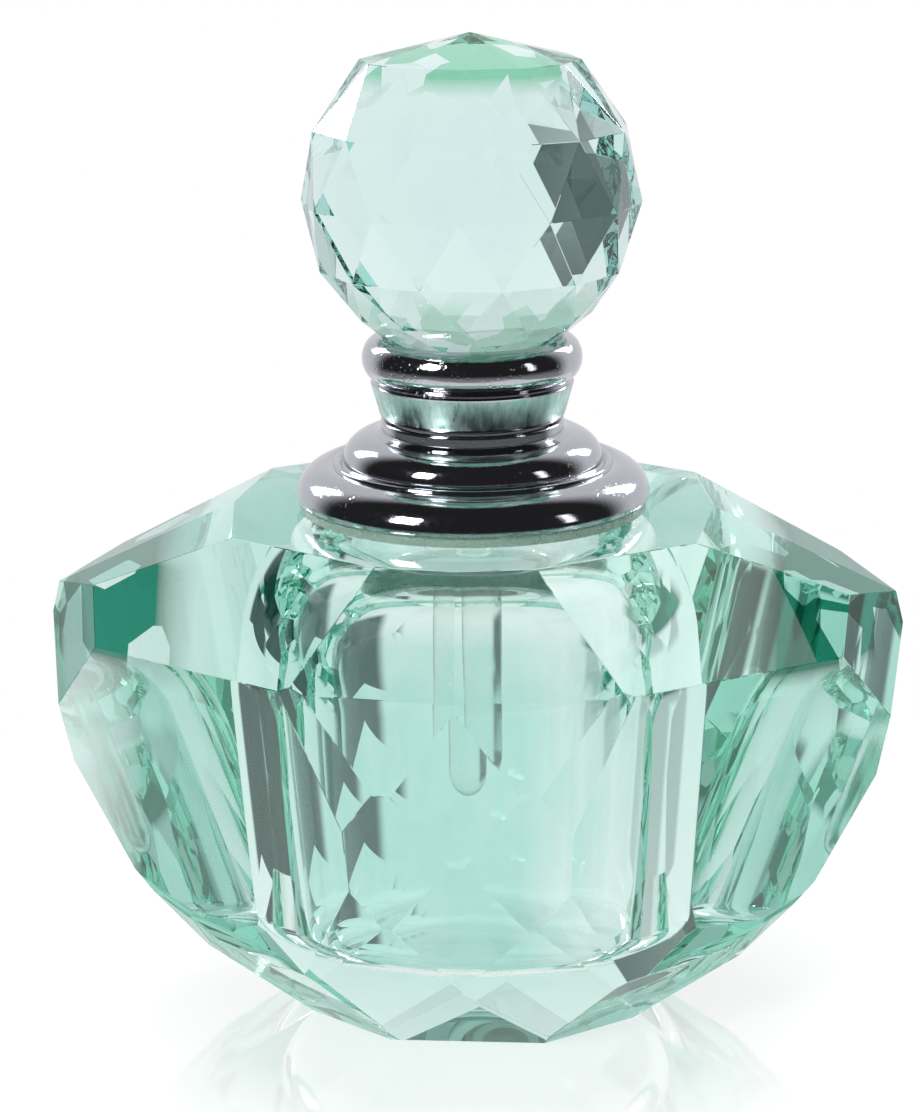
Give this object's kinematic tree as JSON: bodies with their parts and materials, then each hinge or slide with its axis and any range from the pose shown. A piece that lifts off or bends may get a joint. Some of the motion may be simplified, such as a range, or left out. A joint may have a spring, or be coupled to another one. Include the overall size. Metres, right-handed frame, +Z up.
{
  "type": "crystal scent bottle with dauber stopper",
  "caption": "Flattened faceted crystal scent bottle with a domed well, stepped chrome collar and a lift-out faceted ball stopper that carries a dauber rod.",
  "frame": {"origin": "centre of the flat foot, on the surface the bottle stands on", "axes": "+Z up through the ball stopper, +X along the wide way of the body, -Y out of the front face"},
  "size_m": [0.0774, 0.0498, 0.0892],
  "materials": {
    "crystal": "polished, faceted, pale aqua",
    "chrome": "bright plate, lightly pitted",
    "bond": "clear adhesive, slightly cloudy",
    "plastic": "natural polyethylene",
    "seal": "soft, translucent white",
    "rod": "frosted, round tip"
  },
  "bodies": {
    "bottle": {"crystal_body": "crystal", "collar_bond": "bond", "collar": "chrome", "neck_liner": "plastic"},
    "seal": {"plug_seal": "seal"},
    "stopper": {"stopper_cup": "chrome", "seal_washer": "seal", "plug": "plastic", "dauber_rod": "rod", "ball_bond": "bond", "crystal_ball": "crystal"}
  },
  "joints": [
    {"name": "stopper_lift", "type": "slide", "parent": "bottle", "child": "seal", "axis": [0, 0, 1], "range_m": [0, 0.04]},
    {"name": "stopper_turn", "type": "hinge", "parent": "seal", "child": "stopper", "pos_m": [0, 0, 0.0525], "axis": [0, 0, 1], "continuous": true}
  ]
}
